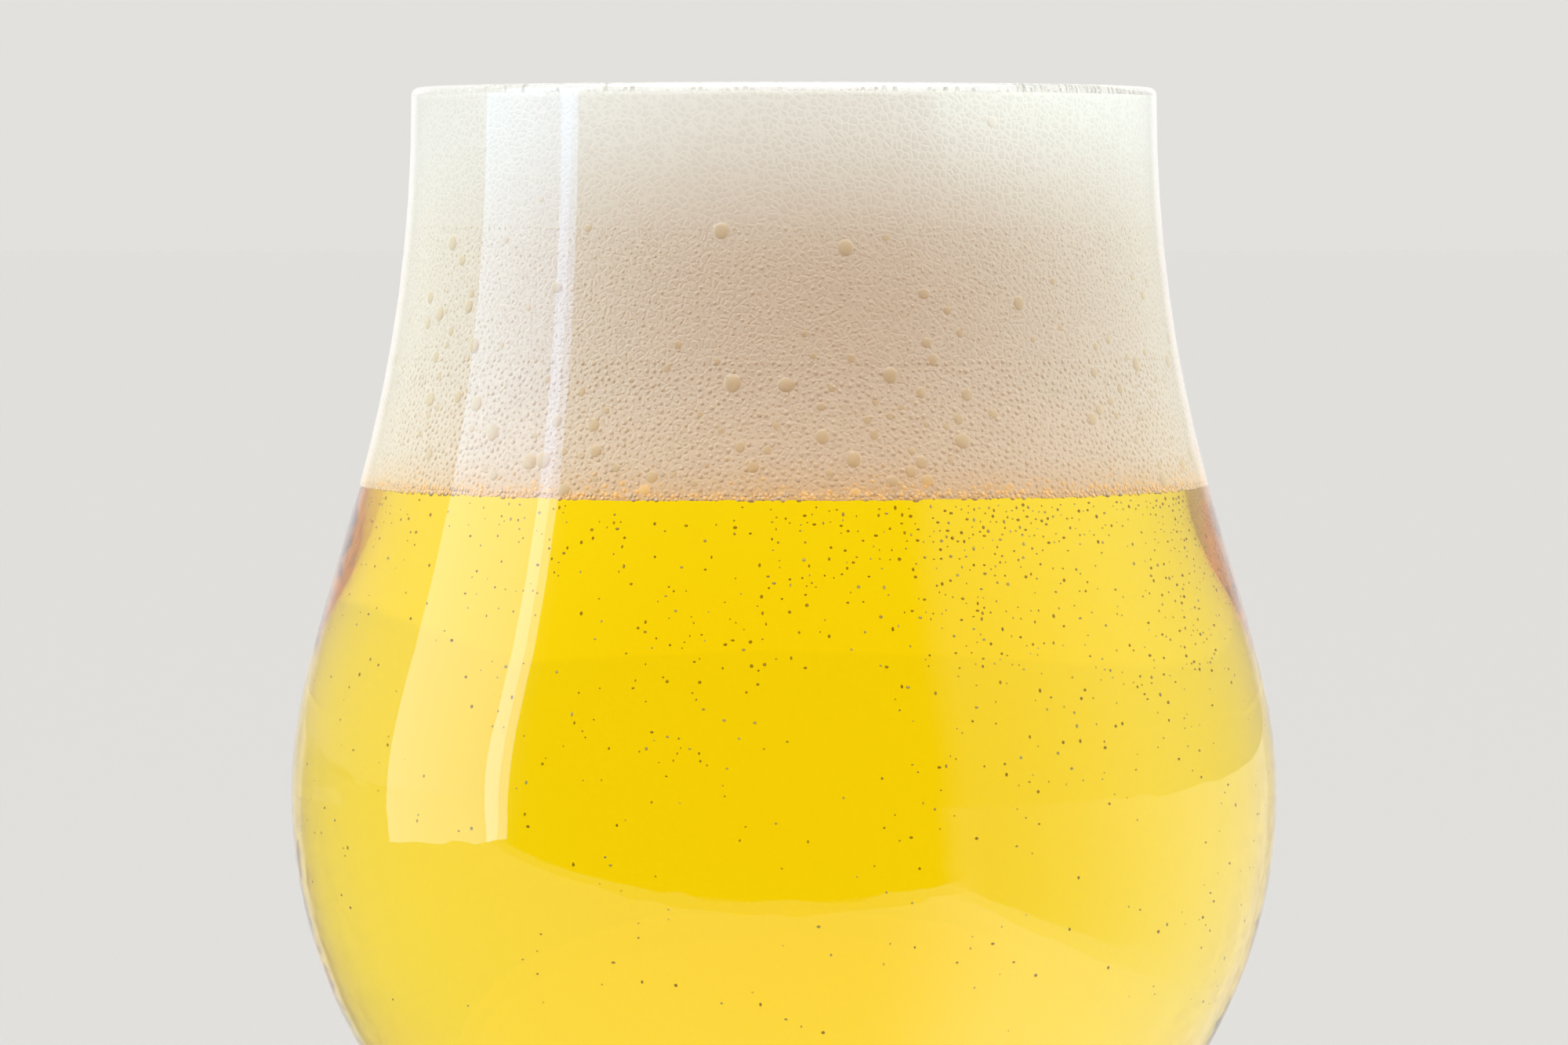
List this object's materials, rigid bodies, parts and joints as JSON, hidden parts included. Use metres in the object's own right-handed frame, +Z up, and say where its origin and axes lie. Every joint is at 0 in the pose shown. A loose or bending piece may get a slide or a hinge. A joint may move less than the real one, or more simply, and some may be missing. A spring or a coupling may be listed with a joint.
{
  "type": "pint of beer",
  "caption": "Stemmed tulip beer glass filled to its brim with clear pale golden beer under a tall head of fine cream foam, standing on its round foot.",
  "frame": {"origin": "middle of the foot's flat underside, on the surface that the glass stands on", "axes": "+Z up along the axis that the glass, the beer and the foam are turned about; +X to the right and +Y away from a viewer in front"},
  "size_m": [0.0976, 0.0976, 0.1705],
  "materials": {
    "clear_glass": "clear, smooth and polished",
    "golden_beer": "clear pale golden liquid with fine bubbles",
    "cream_foam": "soft matte froth of fine bubbles"
  },
  "bodies": {
    "root": {"glass": "clear_glass", "beer": "golden_beer", "foam": "cream_foam"}
  },
  "joints": []
}
